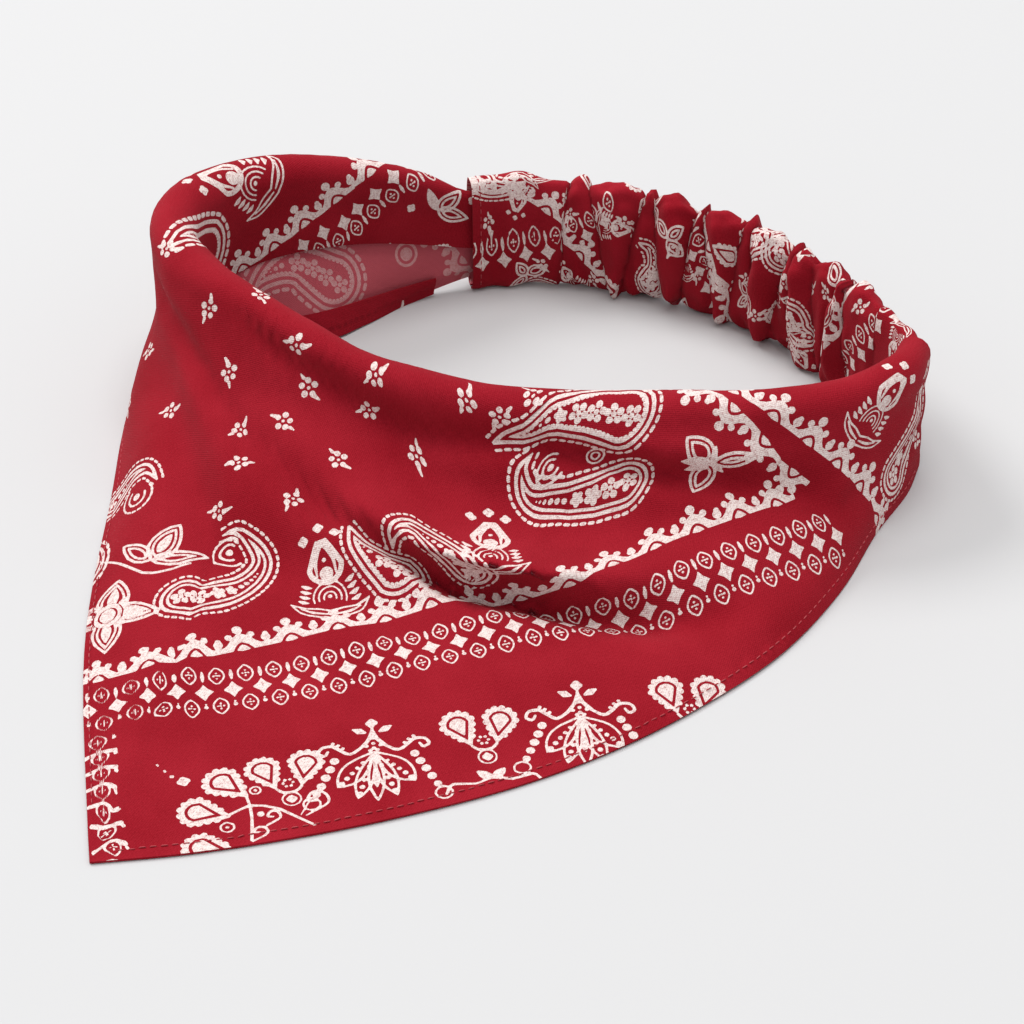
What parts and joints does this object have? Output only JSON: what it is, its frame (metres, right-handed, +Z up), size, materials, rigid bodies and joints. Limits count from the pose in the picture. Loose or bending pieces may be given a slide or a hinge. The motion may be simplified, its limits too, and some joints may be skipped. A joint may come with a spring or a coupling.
{
  "type": "elastic-backed bandana headband",
  "caption": "Cotton bandana headband standing as an open ring: a triangular kerchief with a rolled top edge and a flat tip, closed at the back by a ruched elastic casing.",
  "frame": {"origin": "middle of the underside of the whole, on the surface that it stands on", "axes": "+Z up, +X to the right along the ring's longer way, -Y to the front, where the kerchief's tip lies flat"},
  "size_m": [0.2284, 0.2622, 0.0587],
  "materials": {
    "printed_cotton": "brushed woven cotton, dyed red with an off-white paisley print, matt with a soft nap",
    "elastic": "woven flat elastic, off-white, matt"
  },
  "bodies": {
    "root": {"kerchief": "printed_cotton", "kerchief_turned_edge": "printed_cotton", "casing": "printed_cotton", "elastic": "elastic"}
  },
  "joints": []
}
